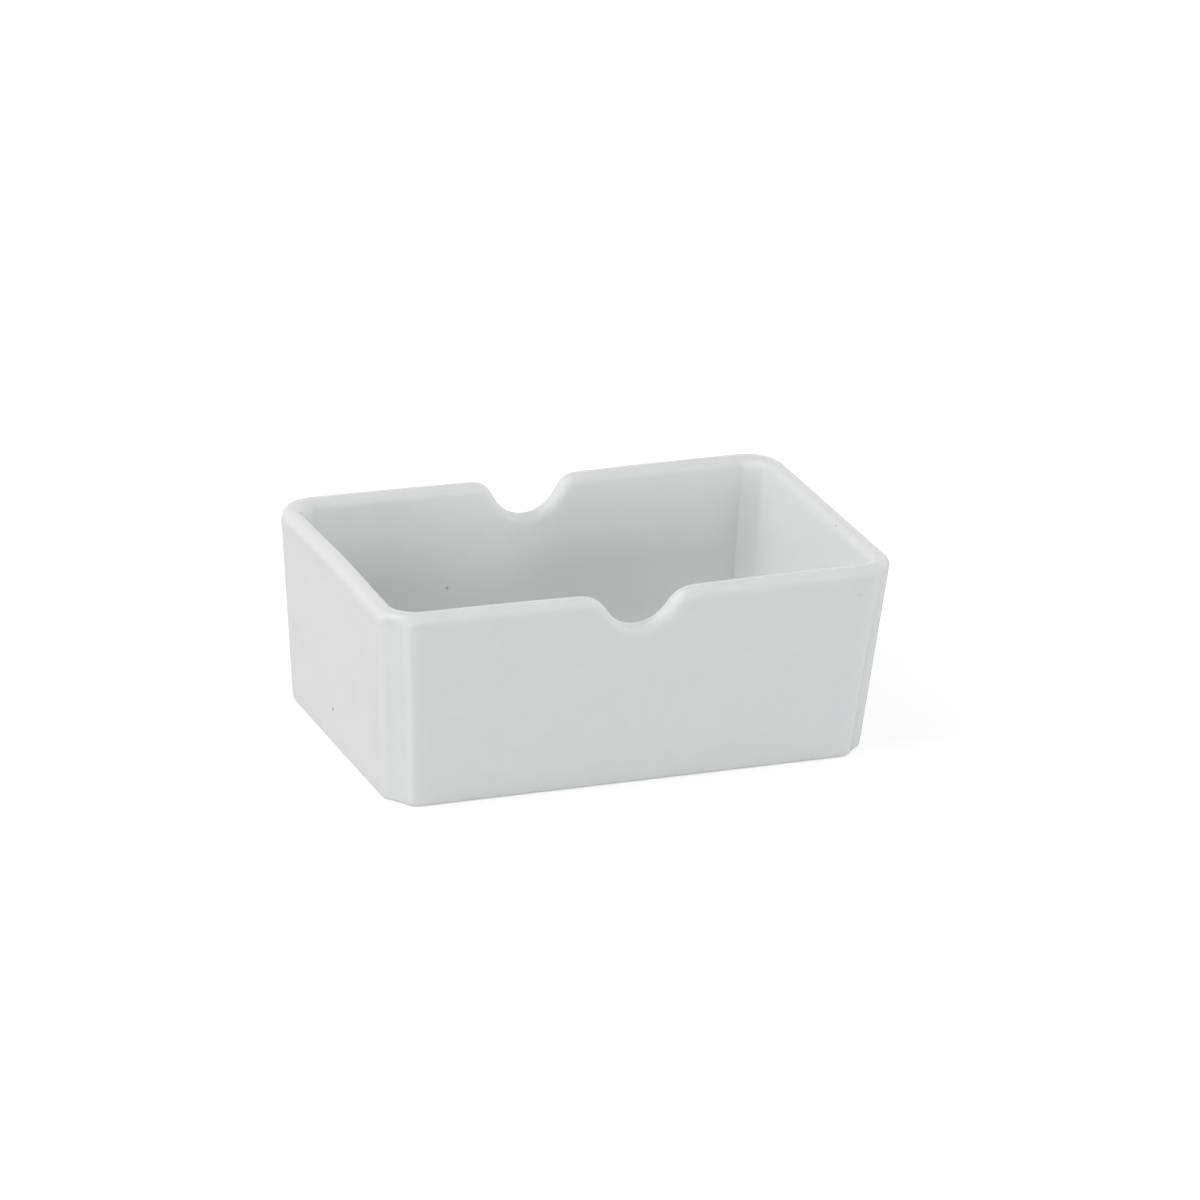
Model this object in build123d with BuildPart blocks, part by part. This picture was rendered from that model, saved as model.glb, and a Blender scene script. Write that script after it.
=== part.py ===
"""Sugar packet holder: a one-piece glazed porcelain box.

Lengths are in millimetres and angles in degrees. The table is z = 0, the long walls run along X,
the short walls along Y, and the origin is the middle of the foot.
"""
import os
from math import cos, radians, sqrt, tan

from build123d import *

os.makedirs("parts", exist_ok=True)

# Body sizes
overall_length = 112.0
overall_width = 68.2
height = 42.6
short_wall_draft = 5.15
long_wall_draft = 3.0
wall = 4.1
floor_thickness = 4.0

# Hollow corners: how far the cut reaches along each wall, at the rim and at the table
rim_corner_cut = 5.2
base_corner_cut = 4.2
flute_radius = 16.0
flute_edge_round = 3.0

# Well inside the walls
floor_round = 6.0
well_corner_extra = 1.0

# Half-round finger notches in the two long walls, with their centres a little below the rim
notch_radius = 7.6
notch_centre_drop = 0.6
shoulder_round = 3.2

# Rim, table edge and foot
rim_crest_flat = 0.15
base_edge_round = 0.9
foot_width = 4.5
foot_recess = 1.2
foot_edge_round = 0.5

# Allowances for rounds that run into each other and for cuts that pass right through
round_margin = 0.3
cut_overrun = 5.0

# Values that follow from the sizes above
rim_round = min((wall - rim_crest_flat) / 2.0, flute_edge_round - round_margin, shoulder_round - round_margin)
well_corner_round = floor_round + well_corner_extra
floor_level = foot_recess + floor_thickness
notch_centre = height - notch_centre_drop
notch_bottom = notch_centre - notch_radius
notch_half_span = notch_radius + 2.0 * shoulder_round
well_mouth = height + cut_overrun


def drafted_size(overall, draft, level):
    """Size over two leaning walls at a level. The overall size is that of the rounded rim."""
    lean = tan(radians(draft))
    rim_overhang = rim_round * (lean + 1.0 / cos(radians(draft)) - 1.0)
    return overall + 2.0 * (rim_overhang - (height - level) * lean)


def outer_length(level):
    """Length over the short walls at a height above the table."""
    return drafted_size(overall_length, short_wall_draft, level)


def outer_width(level):
    """Width over the long walls at a height above the table."""
    return drafted_size(overall_width, long_wall_draft, level)


def flute_centres(length, width, cut):
    """Centres of the four circles that hollow the corners of a rectangle."""
    beyond_corner = (sqrt(2.0 * flute_radius**2 - cut**2) - cut) / 2.0
    x = length / 2.0 + beyond_corner
    y = width / 2.0 + beyond_corner
    return [(x, y), (-x, y), (-x, -y), (x, -y)]


# The box, its well, its notches and its foot are one casting
with BuildPart() as holder_body:
    # Outside walls, leaning outwards from the table to the rim
    with BuildSketch() as base_plan:
        Rectangle(outer_length(0.0), outer_width(0.0))
        with Locations(flute_centres(outer_length(0.0), outer_width(0.0), base_corner_cut)):
            Circle(flute_radius, mode=Mode.SUBTRACT)
        fillet(base_plan.vertices(), flute_edge_round)
    with BuildSketch(Plane.XY.offset(height)) as rim_plan:
        Rectangle(outer_length(height), outer_width(height))
        with Locations(flute_centres(outer_length(height), outer_width(height), rim_corner_cut)):
            Circle(flute_radius, mode=Mode.SUBTRACT)
        fillet(rim_plan.vertices(), flute_edge_round)
    loft(ruled=True)

    # Packet well, with the same lean as the walls
    with BuildSketch(Plane.XY.offset(floor_level)):
        RectangleRounded(
            outer_length(floor_level) - 2.0 * wall,
            outer_width(floor_level) - 2.0 * wall,
            well_corner_round,
        )
    with BuildSketch(Plane.XY.offset(well_mouth)):
        RectangleRounded(
            outer_length(well_mouth) - 2.0 * wall,
            outer_width(well_mouth) - 2.0 * wall,
            well_corner_round,
        )
    loft(ruled=True, mode=Mode.SUBTRACT)
    well_floor = holder_body.faces().filter_by(Axis.Z).filter_by_position(Axis.Z, floor_level, floor_level)
    fillet(well_floor.edges(), floor_round)

    # Finger notches, one profile through both long walls
    with BuildSketch(Plane.XZ) as notch_profile:
        with Locations((0.0, height)):
            Rectangle(2.0 * notch_half_span, cut_overrun, align=(Align.CENTER, Align.MIN))
        with Locations((0.0, notch_centre)):
            Circle(notch_radius)
        rim_line = notch_profile.vertices().filter_by_position(Axis.Y, height - round_margin, height + round_margin)
        fillet(rim_line.sort_by(Axis.X)[1:-1], shoulder_round)
    extrude(amount=overall_width, both=True, mode=Mode.SUBTRACT)

    # Rounded rim that follows the notches
    lowest_rim_edge = notch_bottom - round_margin
    rim_edges = holder_body.edges().filter_by(lambda edge: edge.bounding_box().min.Z > lowest_rim_edge)
    across_wall = rim_edges.filter_by(Axis.Y).filter_by_position(Axis.X, -notch_half_span, notch_half_span)
    fillet(rim_edges - across_wall, rim_round)

    # Recess under the floor, which leaves the foot as a flat ring, and the rounded edge at the table
    with BuildSketch() as foot_plan:
        RectangleRounded(
            outer_length(0.0) - 2.0 * foot_width,
            outer_width(0.0) - 2.0 * foot_width,
            well_corner_round,
        )
    extrude(amount=foot_recess, mode=Mode.SUBTRACT)
    table_face = holder_body.faces().sort_by(Axis.Z)[0]
    fillet(table_face.outer_wire().edges(), base_edge_round)
    table_face = holder_body.faces().sort_by(Axis.Z)[0]
    fillet(table_face.inner_wires()[0].edges(), foot_edge_round)

holder_body.part.label = "holder_body"
export_step(holder_body.part, "parts/holder_body.step")
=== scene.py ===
"""White glazed porcelain sugar packet holder, standing on a plain white table.

Lengths are in metres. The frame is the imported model's: +X along the long walls, +Z up, the table at z = 0.
"""
from math import asin, cos, pi, radians, sin, sqrt, tan

import bmesh
import bpy
from mathutils import Matrix, Vector


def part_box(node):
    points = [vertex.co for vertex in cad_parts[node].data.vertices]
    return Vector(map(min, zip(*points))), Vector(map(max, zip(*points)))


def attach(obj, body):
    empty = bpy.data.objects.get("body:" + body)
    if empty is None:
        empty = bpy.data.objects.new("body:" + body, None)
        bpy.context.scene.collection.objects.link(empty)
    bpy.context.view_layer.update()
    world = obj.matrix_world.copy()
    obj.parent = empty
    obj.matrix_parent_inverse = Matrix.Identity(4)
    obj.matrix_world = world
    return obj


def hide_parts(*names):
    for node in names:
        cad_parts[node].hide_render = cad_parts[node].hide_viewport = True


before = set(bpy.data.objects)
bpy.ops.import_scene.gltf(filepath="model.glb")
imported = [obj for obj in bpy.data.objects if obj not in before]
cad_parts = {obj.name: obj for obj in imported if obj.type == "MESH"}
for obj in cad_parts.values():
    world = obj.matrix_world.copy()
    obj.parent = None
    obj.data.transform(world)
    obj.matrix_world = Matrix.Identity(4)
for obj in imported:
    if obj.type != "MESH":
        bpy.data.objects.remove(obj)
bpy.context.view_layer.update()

MM = 0.001

# Outside of the box, from the frame, a hair inside it
INSIDE_BOX = 0.02 * MM
body_low, body_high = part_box("holder_body")
HALF_LENGTH = (body_high.x - body_low.x) / 2.0 - INSIDE_BOX
HALF_WIDTH = (body_high.y - body_low.y) / 2.0 - INSIDE_BOX
RIM_TOP = body_high.z - INSIDE_BOX

# Walls, floor and foot
SHORT_WALL_LEAN = tan(radians(5.15))
LONG_WALL_LEAN = tan(radians(3.0))
WALL = 4.1 * MM
RIM_ROUND = WALL / 2.0
FLOOR_TOP = 5.2 * MM
FLOOR_ROUND = 8.0 * MM
FLOOR_LOOP_SET_IN = 1.6 * FLOOR_ROUND
TABLE_EDGE_ROUND = 0.9 * MM
FOOT_WIDTH = 4.5 * MM
FOOT_RECESS = 1.2 * MM

# Slope from the recess down to the foot: distance out from its middle, and share of the recess's depth there
RECESS_SLOPE = [(-1.0 * MM, 1.0), (-0.3 * MM, 0.9), (0.0, 0.5), (0.3 * MM, 0.0), (1.0 * MM, 0.0)]

# Hollow corners: how far the cut reaches along the long and the short wall, at the rim and at the base.
# The front left one reaches further along the short wall at the base than the other three
RIM_CORNER_CUT = (5.1 * MM, 5.7 * MM)
BASE_CORNER_CUT = (4.5 * MM, 4.2 * MM)
FRONT_LEFT_RIM_CUT = (4.7 * MM, 5.7 * MM)
FRONT_LEFT_BASE_CUT = (4.1 * MM, 5.6 * MM)
CORNER_LEAD_IN = (3.0 * MM, 2.0 * MM)
CORNER_SPOTS = 5
STRAIGHT_BEVEL = 0.25

# The cut is deepest in its lower half, and shallower at the table and towards the rim
CORNER_HOLLOW = 0.85 * MM
HOLLOW_GROWS = (-5.0 * MM, 6.0 * MM)
HOLLOW_FADES = (16.0 * MM, 40.0 * MM)
HOLLOW_LEFT_AT_RIM = 0.5

# The rim turns each corner in a plain round, above the cut on the outside and above the facet in the well.
# The round gets smaller inwards. The last two are shares of the way over the rim, from outside to inside
RIM_CORNER_ROUND = 7.0 * MM
ROUND_SHRINKS = 0.6
CUT_ENDS = (-0.12, 0.30)
FACET_STARTS = (0.53, 0.97)

# Inside corners: a flat facet, creased against the long wall, and its reach along the long and the short wall
WELL_FACET_TOP = (4.1 * MM, 2.55 * MM)
WELL_FACET_FLOOR = (1.9 * MM, 5.4 * MM)
WELL_CORNER_CREASE = 0.9

# Finger notches in the front (-1) and back (1) wall: each a little off the middle and a little different.
# The rim sags beside a notch, by a share of its sag that falls off along the wall
NOTCHES = {
    -1.0: {
        "shift": -1.45 * MM,
        "radius": 7.65 * MM,
        "centre_drop": -0.05 * MM,
        "shoulder": 6.0 * MM,
        "sag": 0.3 * MM,
    },
    1.0: {
        "shift": -0.65 * MM,
        "radius": 7.75 * MM,
        "centre_drop": 0.45 * MM,
        "shoulder": 4.4 * MM,
        "sag": 0.2 * MM,
    },
}
NOTCH_STEPS = 4
SHOULDER_STEPS = 3
RIM_SAG = {14.5 * MM: 1.0, 20.0 * MM: 0.6, 28.0 * MM: 0.2}

# The left wall is bowed in a little along its rim, most in the middle
LEFT_WALL_BOW = 0.5 * MM
LEFT_WALL_BOW_REACH = 27.0 * MM
LEFT_WALL_BOW_MIDDLE = 1.0 * MM

# How thin the glaze has run on the crest, how much the corner edges are painted lighter as a highlight, and
# how far the glaze is pooled and painted lighter as fill light low in the well
THIN_ON_CREST = 0.6
# Painted highlight: the outer corner edges are painted lighter, for the bright lines along the cut corners
THIN_AND_HIGHLIGHT_ON_CORNERS = 0.8
# Painted fill light: the floor and the lowest inner walls are painted lighter, against the shade deep in the
# well
POOLED_AND_FILL_ON_FLOOR = 1.0
POOLED_AND_FILL_ABOVE_FLOOR = 0.6

# Heights of the edge loops on the walls, and how much of a notch's depth each of the upper ones follows
OUTER_WALL_LEVELS = [2.6 * MM, 10.0 * MM, 20.0 * MM, 29.0 * MM, 36.0 * MM, 38.6 * MM]
INNER_WALL_LEVELS = [38.6 * MM, 36.0 * MM, 29.0 * MM, 20.0 * MM, 16.0 * MM]
NOTCH_FOLLOW = {38.6 * MM: 0.93, 36.0 * MM: 0.80, 29.0 * MM: 0.50, 20.0 * MM: 0.15}
LONG_WALL_COLUMNS = [38.0 * MM]
SHORT_WALL_COLUMNS = [0.0, 9.0 * MM, 18.0 * MM]
RIM_STEPS = 6
SMOOTH_LEVELS = 2

# A subdivided round lies a little inside its control points, so those of the rim stand out by this factor
RIM_SPREAD = 3.0 / (2.0 + cos(pi / RIM_STEPS))

# Points this close count as being at one place, and the floor's edge points this close are merged
NEAR = 0.01 * MM
MERGE_DISTANCE = 0.005 * MM

# Edge loops are numbered from 1 in the order they are drawn. The two flat sheets have numbers of their own
RECESS_SHEET = -1
FLOOR_SHEET = -2


def deselect_all():
    bpy.ops.object.select_all(action="DESELECT")


def edit_mode(piece):
    deselect_all()
    piece.select_set(True)
    bpy.context.view_layer.objects.active = piece
    bpy.ops.object.mode_set(mode="EDIT")
    bpy.ops.mesh.select_mode(type="VERT")


def object_mode():
    bpy.ops.object.mode_set(mode="OBJECT")


def pick(piece, wanted):
    """Selects only the vertices that a test accepts. The piece is in edit mode."""
    bpy.ops.mesh.select_all(action="DESELECT")
    mesh = bmesh.from_edit_mesh(piece.data)
    ring = mesh.verts.layers.int["ring"]
    spot = mesh.verts.layers.int["spot"]
    along = mesh.verts.layers.float["along"]
    found = [v for v in mesh.verts if wanted(v.co, v[ring], v[spot], v[along])]
    for vertex in found:
        vertex.select_set(True)
    mesh.select_flush_mode()
    bmesh.update_edit_mesh(piece.data)
    return [vertex.co.copy() for vertex in found]


def mark_ring(piece, number):
    """Labels the selected vertices as one edge loop."""
    mesh = bmesh.from_edit_mesh(piece.data)
    layer = mesh.verts.layers.int["ring"]
    for vertex in mesh.verts:
        if vertex.select:
            vertex[layer] = number
    bmesh.update_edit_mesh(piece.data)


def wall_ring(level, inset=0.0):
    """Half length, half width and height of the wall's outline at a level, set in by some depth."""
    below_rim = RIM_TOP - RIM_ROUND - level
    half_length = HALF_LENGTH - below_rim * SHORT_WALL_LEAN - inset
    half_width = HALF_WIDTH - below_rim * LONG_WALL_LEAN - inset
    return half_length, half_width, level


def notch_columns(wall):
    """Sections from one end of a notch's sag to the other: x, height and the tilt of the rim there."""
    notch = NOTCHES[wall]
    radius, shoulder, sag = notch["radius"], notch["shoulder"], notch["sag"]
    reach = radius + shoulder
    meeting = asin((shoulder + sag - notch["centre_drop"]) / reach)
    notch_centre = RIM_TOP - notch["centre_drop"]
    shoulder_x = reach * cos(meeting)
    shoulder_z = RIM_TOP - sag - shoulder
    half = []
    for step in range(NOTCH_STEPS):
        angle = -pi / 2.0 + (pi / 2.0 - meeting) * step / NOTCH_STEPS
        half.append((radius * cos(angle), notch_centre + radius * sin(angle), -(angle + pi / 2.0)))
    for step in range(SHOULDER_STEPS + 1):
        angle = pi - meeting - (pi / 2.0 - meeting) * step / SHOULDER_STEPS
        x = shoulder_x + shoulder * cos(angle)
        z = shoulder_z + shoulder * sin(angle)
        half.append((x, z, -(angle - pi / 2.0)))
    for x, share in RIM_SAG.items():
        half.append((x, RIM_TOP - sag * share, 0.0))
    mirrored = [(-x, z, -tilt) for x, z, tilt in reversed(half[1:])]
    return [(notch["shift"] + x, z, tilt) for x, z, tilt in mirrored + half]


def make_plan():
    """A flat sheet with the outline of the rim: columns for the notches and a straight cut at each corner."""
    deselect_all()
    bpy.ops.mesh.primitive_plane_add(size=1.0, location=(0.0, 0.0, 0.0))
    piece = bpy.context.active_object
    edit_mode(piece)
    bpy.ops.mesh.select_all(action="SELECT")
    full_size = (2.0 * HALF_LENGTH, 2.0 * HALF_WIDTH, 1.0)
    bpy.ops.transform.resize(value=full_size, center_override=(0.0, 0.0, 0.0))

    corner_cut = RIM_CORNER_CUT[0]
    last_column = HALF_LENGTH - RIM_CORNER_CUT[0] - CORNER_LEAD_IN[0]
    last_row = HALF_WIDTH - RIM_CORNER_CUT[1] - CORNER_LEAD_IN[1]
    columns = [x for x, z, tilt in notch_columns(-1.0)]
    columns += [side * x for x in LONG_WALL_COLUMNS + [last_column] for side in (-1.0, 1.0)]
    for x in sorted(columns):
        bpy.ops.mesh.select_all(action="SELECT")
        bpy.ops.mesh.bisect(plane_co=(x, 0.0, 0.0), plane_no=(1.0, 0.0, 0.0))
    for y in sorted({side * y for y in SHORT_WALL_COLUMNS + [last_row] for side in (-1.0, 1.0)}):
        bpy.ops.mesh.select_all(action="SELECT")
        bpy.ops.mesh.bisect(plane_co=(0.0, y, 0.0), plane_no=(0.0, 1.0, 0.0))

    # Labels that stay with a point: its edge loop, its spot in a corner and its column along a long wall
    mesh = bmesh.from_edit_mesh(piece.data)
    mesh.verts.layers.int.new("ring")
    mesh.verts.layers.int.new("spot")
    mesh.verts.layers.float.new("along")
    bmesh.update_edit_mesh(piece.data)

    end_x, side_y = HALF_LENGTH - NEAR, HALF_WIDTH - NEAR
    pick(piece, lambda p, ring, spot, along: abs(p.x) > end_x and abs(p.y) > side_y)
    bpy.ops.mesh.bevel(
        offset=corner_cut,
        offset_type="OFFSET",
        segments=CORNER_SPOTS - 1,
        profile=STRAIGHT_BEVEL,
        affect="VERTICES",
    )

    # Spot 0 is a plain point, and a corner's spots run from 1 on the long wall to the last on the short one.
    # A point off the long walls gets a column that none of them has
    mesh = bmesh.from_edit_mesh(piece.data)
    spot_layer = mesh.verts.layers.int["spot"]
    along_layer = mesh.verts.layers.float["along"]
    for vertex in mesh.verts:
        x, y = abs(vertex.co.x), abs(vertex.co.y)
        vertex[along_layer] = vertex.co.x if y > side_y else 1.0
        if x > last_column + NEAR and y > last_row + NEAR:
            vertex[spot_layer] = 1 + round((CORNER_SPOTS - 1) * (HALF_WIDTH - y) / corner_cut)
    bmesh.update_edit_mesh(piece.data)
    object_mode()
    return piece


def extrude_loop(piece, before, ring, number):
    """Extrudes the selected open loop from one outline to the next."""
    bpy.ops.mesh.extrude_edges_move(TRANSFORM_OT_translate={"value": (0.0, 0.0, ring[2] - before[2])})
    bpy.ops.transform.resize(
        value=(ring[0] / before[0], ring[1] / before[1], 1.0), center_override=(0.0, 0.0, ring[2])
    )
    mark_ring(piece, number)
    return ring


def underside_rings():
    """Recess under the floor, flat foot and rounded table edge, from the middle outwards."""
    foot = wall_ring(0.0)
    inner_foot = wall_ring(0.0, FOOT_WIDTH)
    rings = [(inner_foot[0] + out, inner_foot[1] + out, FOOT_RECESS * share) for out, share in RECESS_SLOPE]
    for angle in (0.0, 30.0, 60.0, 90.0):
        inset = TABLE_EDGE_ROUND * (1.0 - sin(radians(angle)))
        level = TABLE_EDGE_ROUND * (1.0 - cos(radians(angle)))
        rings.append((foot[0] - inset, foot[1] - inset, level))
    return rings


def rim_rings():
    """Full round of the rim, from the outer wall over the crest to the inner wall."""
    rings = []
    for step in range(RIM_STEPS + 1):
        angle = pi * step / RIM_STEPS
        out = RIM_ROUND * RIM_SPREAD * cos(angle) - RIM_ROUND
        level = RIM_TOP - RIM_ROUND + RIM_ROUND * RIM_SPREAD * sin(angle)
        rings.append((HALF_LENGTH + out, HALF_WIDTH + out, level))
    return rings


def floor_rings():
    """Round between the inner walls and the floor, then a loop on the floor."""
    wall_foot = wall_ring(FLOOR_TOP + FLOOR_ROUND, WALL)
    rings = []
    for angle in (0.0, 22.5, 45.0, 67.5, 90.0):
        inset = FLOOR_ROUND * (1.0 - cos(radians(angle)))
        level = FLOOR_TOP + FLOOR_ROUND * (1.0 - sin(radians(angle)))
        rings.append((wall_foot[0] - inset, wall_foot[1] - inset, level))
    rings.append((wall_foot[0] - FLOOR_LOOP_SET_IN, wall_foot[1] - FLOOR_LOOP_SET_IN, FLOOR_TOP))
    return rings


def flute_corner(level, set_in, base_cut, rim_cut):
    """Distances of the corner points from the two wall faces, for a cut that is hollow in the middle."""
    height_share = min(level / RIM_TOP, 1.0)
    # A straight cut gets this much shorter when the outline is set in
    shrink = (2.0 - sqrt(2.0)) * set_in
    along_long, along_short = [
        base + (rim - base) * height_share - shrink for base, rim in zip(base_cut, rim_cut)
    ]
    hollow = CORNER_HOLLOW * smooth_share(level, *HOLLOW_GROWS)
    hollow *= 1.0 - (1.0 - HOLLOW_LEFT_AT_RIM) * smooth_share(level, *HOLLOW_FADES)
    insets = []
    for spot in range(CORNER_SPOTS):
        share = spot / (CORNER_SPOTS - 1)
        depth = hollow * 4.0 * share * (1.0 - share) / sqrt(2.0)
        insets.append((along_long * (1.0 - share) + depth, along_short * share + depth))
    return insets


def round_corner(set_in):
    """Distances of the corner points from the two wall faces, for the plain round of the rim."""
    radius = RIM_CORNER_ROUND - ROUND_SHRINKS * set_in
    insets = []
    for spot in range(CORNER_SPOTS):
        angle = pi / 2.0 * spot / (CORNER_SPOTS - 1)
        insets.append((radius * (1.0 - sin(angle)), radius * (1.0 - cos(angle))))
    return insets


def well_corner(level):
    """Distances of the corner points from the two wall faces, for the flat facet in the well."""
    height_share = min(level / RIM_TOP, 1.0)
    along_long, along_short = [
        floor + (top - floor) * height_share for floor, top in zip(WELL_FACET_FLOOR, WELL_FACET_TOP)
    ]
    insets = []
    for spot in range(CORNER_SPOTS):
        share = spot / (CORNER_SPOTS - 1)
        insets.append((along_long * (1.0 - share), along_short * share))
    return insets


def smooth_share(value, start, stop):
    """How far a value has come from start to stop, from 0 to 1, with soft ends."""
    share = min(max((value - start) / (stop - start), 0.0), 1.0)
    return share**2 * (3.0 - 2.0 * share)


def between(first, second, share):
    """Corner distances that lie a share of the way from one set to another."""
    return [(a[0] + (b[0] - a[0]) * share, a[1] + (b[1] - a[1]) * share) for a, b in zip(first, second)]


def set_corners(piece, ring, number, insets, where):
    """Moves one edge loop's points, at the corners asked for, to given distances from the wall faces."""
    for spot, (inset_x, inset_y) in enumerate(insets, start=1):
        points = pick(piece, lambda p, r, s, along: r == number and s == spot and where(p))
        now_x = max(abs(point.x) for point in points)
        now_y = max(abs(point.y) for point in points)
        scale = ((ring[0] - inset_x) / now_x, (ring[1] - inset_y) / now_y, 1.0)
        bpy.ops.transform.resize(value=scale, center_override=(0.0, 0.0, ring[2]))


def at_front_left(point):
    return point.x < 0.0 and point.y < 0.0


def at_other_corners(point):
    return not at_front_left(point)


def cut_notches(piece, rim_numbers, wall_numbers):
    """Sinks the rim of both long walls along the notch outline, section by section."""
    labels = [x for x, z, tilt in notch_columns(-1.0)]
    for wall in NOTCHES:
        lean_in = -wall * LONG_WALL_LEAN
        for label, (x, z, tilt) in zip(labels, notch_columns(wall)):
            drop = RIM_TOP - z

            def in_column(p, along):
                return abs(along - label) < NEAR and p.y * wall > 0.0

            pick(piece, lambda p, ring, spot, along: ring in rim_numbers and in_column(p, along))
            bpy.ops.transform.resize(value=(0.0, 1.0, 1.0), center_override=(x, 0.0, RIM_TOP))
            bpy.ops.transform.rotate(value=-tilt, orient_axis="Y", center_override=(x, 0.0, RIM_TOP))
            bpy.ops.transform.translate(value=(0.0, drop * lean_in, -drop))
            for number, level in wall_numbers.items():
                follow = drop * NOTCH_FOLLOW.get(level, 0.0)
                pick(piece, lambda p, ring, spot, along: ring == number and in_column(p, along))
                bpy.ops.transform.resize(value=(0.0, 1.0, 1.0), center_override=(x, 0.0, level))
                bpy.ops.transform.translate(value=(0.0, follow * lean_in, -follow))


def mark_glaze(piece, rim_start, inner_start, floor_start):
    """Notes where the glaze runs thin on the crest, where the corner edges carry a painted highlight, and
    where the glaze pools low in the well and is painted lighter as fill light.
    """
    mesh = bmesh.from_edit_mesh(piece.data)
    thin_and_highlight = mesh.verts.layers.float.new("thin_glaze_and_highlight")
    pooled_and_fill = mesh.verts.layers.float.new("pooled_glaze_and_fill_light")
    ring_layer = mesh.verts.layers.int["ring"]
    spot_layer = mesh.verts.layers.int["spot"]
    crest = (rim_start + inner_start) // 2
    for vertex in mesh.verts:
        ring, spot = vertex[ring_layer], vertex[spot_layer]
        if abs(ring - crest) <= 1:
            vertex[thin_and_highlight] = THIN_ON_CREST
        # Painted highlight on the outer corner edges
        elif 0 < ring < rim_start and spot in (1, CORNER_SPOTS):
            vertex[thin_and_highlight] = THIN_AND_HIGHLIGHT_ON_CORNERS
        # Painted fill light low in the well, on the floor and the lowest inner walls
        if ring >= floor_start - 1 or ring == FLOOR_SHEET:
            vertex[pooled_and_fill] = POOLED_AND_FILL_ON_FLOOR
        elif ring == floor_start - 2:
            vertex[pooled_and_fill] = POOLED_AND_FILL_ABOVE_FLOOR
    bmesh.update_edit_mesh(piece.data)


def make_porcelain_body():
    """One casting: recess, foot, outer walls, rim, inner walls and floor drawn out of one outline."""
    body = make_plan()
    body.name = "porcelain_body"
    body.data.name = "porcelain_body"
    edit_mode(body)

    rings = underside_rings()
    outer_start = len(rings)
    rings += [wall_ring(level) for level in OUTER_WALL_LEVELS]
    rim_start = len(rings)
    rings += rim_rings()
    inner_start = len(rings)
    rings += [wall_ring(level, WALL) for level in INNER_WALL_LEVELS]
    floor_start = len(rings)
    rings += floor_rings()

    # A second sheet is laid aside for the floor
    bpy.ops.mesh.select_all(action="SELECT")
    bpy.ops.mesh.duplicate()
    floor = rings[-1]
    bpy.ops.transform.resize(
        value=(floor[0] / HALF_LENGTH, floor[1] / HALF_WIDTH, 1.0), center_override=(0.0, 0.0, 0.0)
    )
    bpy.ops.transform.translate(value=(0.0, 0.0, floor[2]))
    mark_ring(body, FLOOR_SHEET)

    # The first sheet becomes the recess, and its edge is drawn out loop by loop
    pick(body, lambda p, ring, spot, along: ring == 0)
    ring = rings[0]
    bpy.ops.transform.resize(
        value=(ring[0] / HALF_LENGTH, ring[1] / HALF_WIDTH, 1.0), center_override=(0.0, 0.0, 0.0)
    )
    bpy.ops.transform.translate(value=(0.0, 0.0, ring[2]))
    mark_ring(body, RECESS_SHEET)
    bpy.ops.mesh.select_mode(type="EDGE")
    bpy.ops.mesh.region_to_loop()
    for number in range(1, len(rings)):
        ring = extrude_loop(body, ring, rings[number], number)
    bpy.ops.mesh.select_mode(type="VERT")

    # Corners: a hollow cut on the outside, the plain round of the rim and the creased facet in the well
    for number in range(1, len(rings)):
        level = rings[number][2]
        across = (number - rim_start) / RIM_STEPS
        set_in = RIM_ROUND * (1.0 - cos(pi * min(max(across, 0.0), 1.0)))
        for where, base_cut, rim_cut in (
            (at_front_left, FRONT_LEFT_BASE_CUT, FRONT_LEFT_RIM_CUT),
            (at_other_corners, BASE_CORNER_CUT, RIM_CORNER_CUT),
        ):
            insets = flute_corner(level, set_in, base_cut, rim_cut)
            insets = between(insets, round_corner(set_in), smooth_share(across, *CUT_ENDS))
            insets = between(insets, well_corner(level), smooth_share(across, *FACET_STARTS))
            set_corners(body, rings[number], number, insets, where)
            if number == len(rings) - 1:
                set_corners(body, rings[number], FLOOR_SHEET, insets, where)
    crease_start = inner_start - RIM_STEPS // 3
    pick(body, lambda p, ring, spot, along: crease_start <= ring <= floor_start and spot == 1)
    bpy.ops.transform.edge_crease(value=WELL_CORNER_CREASE)
    bpy.ops.mesh.mark_sharp()

    mark_glaze(body, rim_start, inner_start, floor_start)

    rim_numbers = range(rim_start, inner_start)
    wall_numbers = {outer_start + i: level for i, level in enumerate(OUTER_WALL_LEVELS)}
    wall_numbers |= {inner_start + i: level for i, level in enumerate(INNER_WALL_LEVELS)}
    cut_notches(body, rim_numbers, wall_numbers)

    def on_left_rim_middle(point, ring):
        return ring in rim_numbers and point.x < -0.9 * HALF_LENGTH and abs(point.y) < LEFT_WALL_BOW_MIDDLE

    pick(body, lambda p, ring, spot, along: on_left_rim_middle(p, ring))
    bpy.ops.transform.translate(
        value=(LEFT_WALL_BOW, 0.0, 0.0),
        use_proportional_edit=True,
        proportional_edit_falloff="SMOOTH",
        proportional_size=LEFT_WALL_BOW_REACH,
    )

    bpy.ops.mesh.select_all(action="SELECT")
    bpy.ops.mesh.remove_doubles(threshold=MERGE_DISTANCE)
    bpy.ops.mesh.normals_make_consistent(inside=False)
    object_mode()

    soften = body.modifiers.new("soften", "SUBSURF")
    soften.levels = soften.render_levels = SMOOTH_LEVELS
    bpy.ops.object.modifier_apply(modifier=soften.name)
    bpy.ops.object.shade_smooth()
    for label in ("ring", "spot", "along"):
        body.data.attributes.remove(body.data.attributes[label])
    return body


def add_node(nodes, kind, **values):
    """Adds a node, and sets its plain properties and the sockets that are named in sockets."""
    sockets = values.pop("sockets", {})
    node = nodes.new(kind)
    for name, value in values.items():
        setattr(node, name, value)
    for name, value in sockets.items():
        node.inputs[name].default_value = value
    return node
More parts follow.
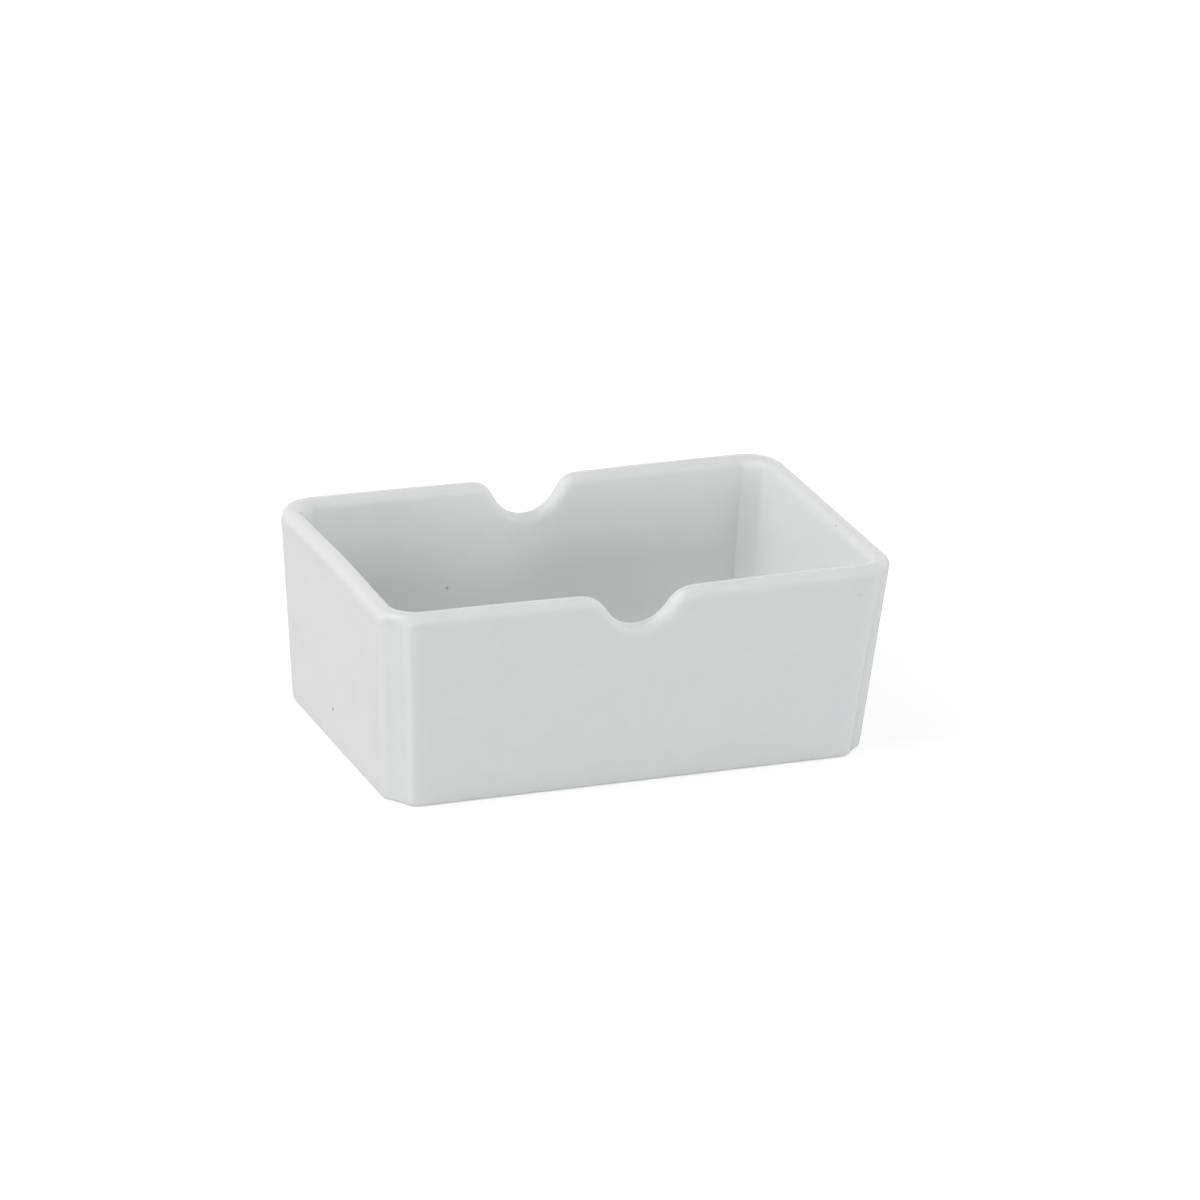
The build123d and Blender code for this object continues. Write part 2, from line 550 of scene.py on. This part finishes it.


# Glaze: its colour where it has pooled and is painted lighter as fill light, where it is clouded and even,
# where it is thin and the corner edges carry a painted highlight, and the bare clay of the foot
# The pooled colour is lighter than the even glaze: painted fill light low in the well
GLAZE_POOLED_AND_FILL = (0.897, 0.923, 0.917, 1.0)
GLAZE_CLOUDED = (0.846, 0.878, 0.871, 1.0)
GLAZE_EVEN = (0.864, 0.896, 0.889, 1.0)
# The thin colour is lighter than the even glaze. On the corner edges it is a painted highlight
GLAZE_THIN_AND_HIGHLIGHT = (0.905, 0.921, 0.915, 1.0)
BARE_CLAY = (0.790, 0.765, 0.725, 1.0)
SPECK_BROWN = (0.25, 0.22, 0.19, 1.0)
GLAZE_INDEX = 1.5
GLAZE_ROUGHNESS = 0.07
EVEN_GLAZE_HAZE = 0.03
CLAY_ROUGHNESS = 0.75
BARE_FOOT_TOP = (0.10 * MM, 0.30 * MM)

# Clouds in the glaze, its slow waves and its orange peel
CLOUDS = {"Scale": 120.0, "Detail": 5.0, "Roughness": 0.75}
CLOUD_EDGE = (0.35, 0.65)
WAVES = {"Scale": 60.0, "Detail": 1.0}
PEEL = {"Scale": 900.0, "Detail": 2.0}
PEEL_SHARE = 0.02
WAVE_HEIGHT = 0.12 * MM

# Specks in the glaze: place on the wall, the radius over which each one fades out, and how strong it is
SPECK_CORE = 0.2
SPECKS = [
    (Vector((-53.09, 1.42, 8.55)) * MM, 0.60 * MM, 0.90),
    (Vector((-18.15, 28.93, 20.56)) * MM, 0.45 * MM, 0.60),
    (Vector((46.88, -33.89, 36.89)) * MM, 0.45 * MM, 0.10),
    (Vector((-54.96, -18.20, 30.16)) * MM, 0.40 * MM, 0.14),
    (Vector((50.19, 27.43, 33.84)) * MM, 0.40 * MM, 0.08),
]

# A few more specks, scattered: cells, edge of a cell's dot, which cells are chosen, and how strong a dot is
SCATTER_CELLS = {"Scale": 75.0}
SCATTER_DOT_EDGE = (0.010, 0.022)
SCATTER_CHOSEN = (0.90, 0.92)
SCATTER_STRENGTH = 0.5


def mix_colour(nodes, links, first, second, share):
    """Mixes two colours, each a plain value or a socket, by a share."""
    mix = add_node(nodes, "ShaderNodeMix", data_type="RGBA")
    for socket, colour in ((mix.inputs["A"], first), (mix.inputs["B"], second)):
        if isinstance(colour, tuple):
            socket.default_value = colour
        else:
            links.new(colour, socket)
    links.new(share, mix.inputs["Factor"])
    return mix.outputs["Result"]


def fade(nodes, links, value, start, stop, to_start, to_stop):
    """A smooth step of a value from one level to another."""
    step = add_node(nodes, "ShaderNodeMapRange", interpolation_type="SMOOTHSTEP")
    step.inputs["From Min"].default_value = start
    step.inputs["From Max"].default_value = stop
    step.inputs["To Min"].default_value = to_start
    step.inputs["To Max"].default_value = to_stop
    links.new(value, step.inputs["Value"])
    return step.outputs["Result"]


def join(nodes, links, operation, first, second):
    """One calculation with two sockets, or with a socket and a plain value."""
    result = add_node(nodes, "ShaderNodeMath", operation=operation)
    links.new(first, result.inputs[0])
    if isinstance(second, float):
        result.inputs[1].default_value = second
    else:
        links.new(second, result.inputs[1])
    return result.outputs["Value"]


def speck_mask(nodes, links, place):
    """How strongly each spot is a speck: the placed ones, and a few more scattered over the body."""
    scatter = add_node(nodes, "ShaderNodeTexVoronoi", sockets=SCATTER_CELLS)
    links.new(place, scatter.inputs["Vector"])
    dots = fade(nodes, links, scatter.outputs["Distance"], *SCATTER_DOT_EDGE, 1.0, 0.0)
    pick_some = add_node(nodes, "ShaderNodeSeparateColor")
    links.new(scatter.outputs["Color"], pick_some.inputs["Color"])
    chosen = fade(nodes, links, pick_some.outputs["Red"], *SCATTER_CHOSEN, 0.0, SCATTER_STRENGTH)
    mask = join(nodes, links, "MULTIPLY", dots, chosen)
    for spot, radius, strength in SPECKS:
        away = add_node(nodes, "ShaderNodeVectorMath", operation="DISTANCE")
        away.inputs[1].default_value = spot
        links.new(place, away.inputs[0])
        speck = fade(nodes, links, away.outputs["Value"], SPECK_CORE * radius, radius, strength, 0.0)
        mask = join(nodes, links, "MAXIMUM", mask, speck)
    return mask


def make_glaze():
    """Glossy glaze over white porcelain: faint clouds, thin places with a painted highlight on the corner
    edges, pooled places painted lighter as fill light low in the well, specks and a bare foot.
    """
    glaze = bpy.data.materials.new("white_glaze")
    glaze.use_nodes = True
    nodes, links = glaze.node_tree.nodes, glaze.node_tree.links
    surface = nodes["Principled BSDF"]
    surface.inputs["IOR"].default_value = GLAZE_INDEX
    place = add_node(nodes, "ShaderNodeTexCoord").outputs["Object"]

    clouds = add_node(nodes, "ShaderNodeTexNoise", sockets=CLOUDS)
    links.new(place, clouds.inputs["Vector"])
    even = fade(nodes, links, clouds.outputs["Fac"], *CLOUD_EDGE, 0.0, 1.0)
    # The thin mask also paints a highlight on the corner edges
    thin_and_highlight = add_node(nodes, "ShaderNodeAttribute", attribute_name="thin_glaze_and_highlight").outputs["Fac"]
    # The pooled mask paints fill light low in the well
    pooled_and_fill = add_node(nodes, "ShaderNodeAttribute", attribute_name="pooled_glaze_and_fill_light").outputs["Fac"]
    colour = mix_colour(nodes, links, GLAZE_CLOUDED, GLAZE_EVEN, even)
    colour = mix_colour(nodes, links, colour, GLAZE_POOLED_AND_FILL, pooled_and_fill)
    colour = mix_colour(nodes, links, colour, GLAZE_THIN_AND_HIGHLIGHT, thin_and_highlight)
    colour = mix_colour(nodes, links, colour, SPECK_BROWN, speck_mask(nodes, links, place))

    height = add_node(nodes, "ShaderNodeSeparateXYZ")
    links.new(place, height.inputs["Vector"])
    bare = fade(nodes, links, height.outputs["Z"], *BARE_FOOT_TOP, 1.0, 0.0)
    colour = mix_colour(nodes, links, colour, BARE_CLAY, bare)
    links.new(colour, surface.inputs["Base Color"])

    # The glaze has a slight haze between its clouds, and the clay is dull
    haze = join(nodes, links, "MULTIPLY", even, EVEN_GLAZE_HAZE)
    glossy = join(nodes, links, "ADD", haze, GLAZE_ROUGHNESS)
    dull = join(nodes, links, "MULTIPLY", bare, CLAY_ROUGHNESS)
    links.new(join(nodes, links, "MAXIMUM", glossy, dull), surface.inputs["Roughness"])

    # Slow waves left by dipping, and a finer orange peel
    waves = add_node(nodes, "ShaderNodeTexNoise", sockets=WAVES)
    peel = add_node(nodes, "ShaderNodeTexNoise", sockets=PEEL)
    links.new(place, waves.inputs["Vector"])
    links.new(place, peel.inputs["Vector"])
    fine = join(nodes, links, "MULTIPLY", peel.outputs["Fac"], PEEL_SHARE)
    relief = join(nodes, links, "ADD", waves.outputs["Fac"], fine)
    bump = add_node(nodes, "ShaderNodeBump", sockets={"Strength": 1.0, "Distance": WAVE_HEIGHT})
    links.new(relief, bump.inputs["Height"])
    links.new(bump.outputs["Normal"], surface.inputs["Normal"])
    return glaze


# Table and surround. The first of each pair of whites is what the camera sees, the second what the glaze
# mirrors. The surround goes dark between the two heights of the ceiling's edge
TABLE_SIZE = 6.0
TABLE_COLOUR = (0.62, 0.62, 0.62, 1.0)
TABLE_WHITE = (0.62, 0.20)
SURROUND_WHITE = (1.0, 1.0)
SURROUND_LIGHT = 0.200
CEILING_EDGE = (0.50, 0.85)


def seen_white(nodes, links, levels):
    """One strength for what the camera sees and what the glaze mirrors. It is zero for the light itself."""
    camera_level, mirrored_level = levels
    path = add_node(nodes, "ShaderNodeLightPath").outputs
    mirrored = join(nodes, links, "MAXIMUM", path["Is Glossy Ray"], path["Is Transmission Ray"])
    mirrored = join(nodes, links, "MULTIPLY", mirrored, mirrored_level)
    direct = join(nodes, links, "MULTIPLY", path["Is Camera Ray"], camera_level)
    return join(nodes, links, "MAXIMUM", direct, mirrored)


def make_table():
    """White table that keeps a faint, soft shadow."""
    deselect_all()
    bpy.ops.mesh.primitive_plane_add(size=TABLE_SIZE, location=(0.0, 0.0, 0.0))
    table = bpy.context.active_object
    table.name = "table"
    paper = bpy.data.materials.new("table_paper")
    paper.use_nodes = True
    nodes, links = paper.node_tree.nodes, paper.node_tree.links
    surface = nodes["Principled BSDF"]
    surface.inputs["Base Color"].default_value = TABLE_COLOUR
    surface.inputs["Roughness"].default_value = 1.0
    surface.inputs["Specular IOR Level"].default_value = 0.0
    surface.inputs["Emission Color"].default_value = (1.0, 1.0, 1.0, 1.0)
    links.new(seen_white(nodes, links, TABLE_WHITE), surface.inputs["Emission Strength"])
    table.data.materials.append(paper)


def make_surround():
    """Even white surround under a dark ceiling, which lights the object a little from all sides."""
    world = bpy.data.worlds.new("surround")
    bpy.context.scene.world = world
    world.use_nodes = True
    nodes, links = world.node_tree.nodes, world.node_tree.links
    sky = nodes["Background"]
    sky.inputs["Color"].default_value = (1.0, 1.0, 1.0, 1.0)
    direction = add_node(nodes, "ShaderNodeSeparateXYZ")
    links.new(add_node(nodes, "ShaderNodeTexCoord").outputs["Generated"], direction.inputs["Vector"])
    below_ceiling = fade(nodes, links, direction.outputs["Z"], *CEILING_EDGE, 1.0, 0.0)
    seen = join(nodes, links, "MULTIPLY", seen_white(nodes, links, SURROUND_WHITE), below_ceiling)
    links.new(join(nodes, links, "MAXIMUM", seen, SURROUND_LIGHT), sky.inputs["Strength"])


# Soft lamps aimed at the middle of the box: name, place, size, watts, colour, and if the glaze mirrors it
WARM_WHITE = (1.0, 0.962, 0.972)
COOL_WHITE = (0.975, 1.0, 1.0)
LAMPS = [
    ("left_window", (-1.10, 0.15, 0.33), 0.8, 5.5, WARM_WHITE, False),
    ("left_skylight", (-0.58, 0.0, 0.95), 0.8, 4.3, WARM_WHITE, True),
    ("front_card", (0.14, -1.10, 0.20), 0.4, 4.3, COOL_WHITE, False),
    ("right_card", (1.00, 0.10, 0.50), 1.0, 4.0, WARM_WHITE, False),
    ("back_right_card", (0.70, 0.90, 0.60), 1.0, 2.0, WARM_WHITE, False),
    ("low_back_card", (-0.10, 1.20, 0.20), 0.5, 1.8, WARM_WHITE, False),
]


def make_lamps():
    """Square area lamps round the box."""
    aim = Vector((0.0, 0.0, RIM_TOP / 2.0))
    for name, place, size, watts, colour, mirrored in LAMPS:
        light = bpy.data.lights.new(name, "AREA")
        light.shape = "SQUARE"
        light.size = size
        light.energy = watts
        light.color = colour
        lamp = bpy.data.objects.new(name, light)
        bpy.context.scene.collection.objects.link(lamp)
        lamp.location = place
        lamp.rotation_euler = (aim - Vector(place)).to_track_quat("-Z", "Y").to_euler()
        lamp.visible_glossy = mirrored


# Camera: the photograph's viewing angle, as a long lens from the front left
LENS_PIXELS = 7363.0
IMAGE_PIXELS = 1200.0
SENSOR = 36.0
AZIMUTH = radians(23.31)
ELEVATION = radians(22.17)
ROLL = radians(3.076)
DISTANCE = 1.521
AIM_ACROSS = -5.152 * MM
AIM_UP = -25.33 * MM


def make_camera():
    """A long lens aimed near the middle of the box, turned a little about its own axis."""
    forward = Vector((sin(AZIMUTH) * cos(ELEVATION), cos(AZIMUTH) * cos(ELEVATION), -sin(ELEVATION)))
    level_right = Vector((cos(AZIMUTH), -sin(AZIMUTH), 0.0))
    level_up = level_right.cross(forward)
    right = level_right * cos(ROLL) + level_up * sin(ROLL)
    up = level_up * cos(ROLL) - level_right * sin(ROLL)
    place = -AIM_ACROSS * right - AIM_UP * up - DISTANCE * forward
    lens = bpy.data.cameras.new("camera")
    lens.sensor_width = SENSOR
    lens.lens = LENS_PIXELS / IMAGE_PIXELS * SENSOR
    camera = bpy.data.objects.new("camera", lens)
    bpy.context.scene.collection.objects.link(camera)
    turn = Matrix((right, up, -forward)).transposed()
    camera.matrix_world = Matrix.Translation(place) @ turn.to_4x4()
    bpy.context.scene.camera = camera


body = make_porcelain_body()
body.data.materials.append(make_glaze())
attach(body, "root")
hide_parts("holder_body")
make_table()
make_surround()
make_lamps()
make_camera()
bpy.context.scene.view_settings.view_transform = "Standard"
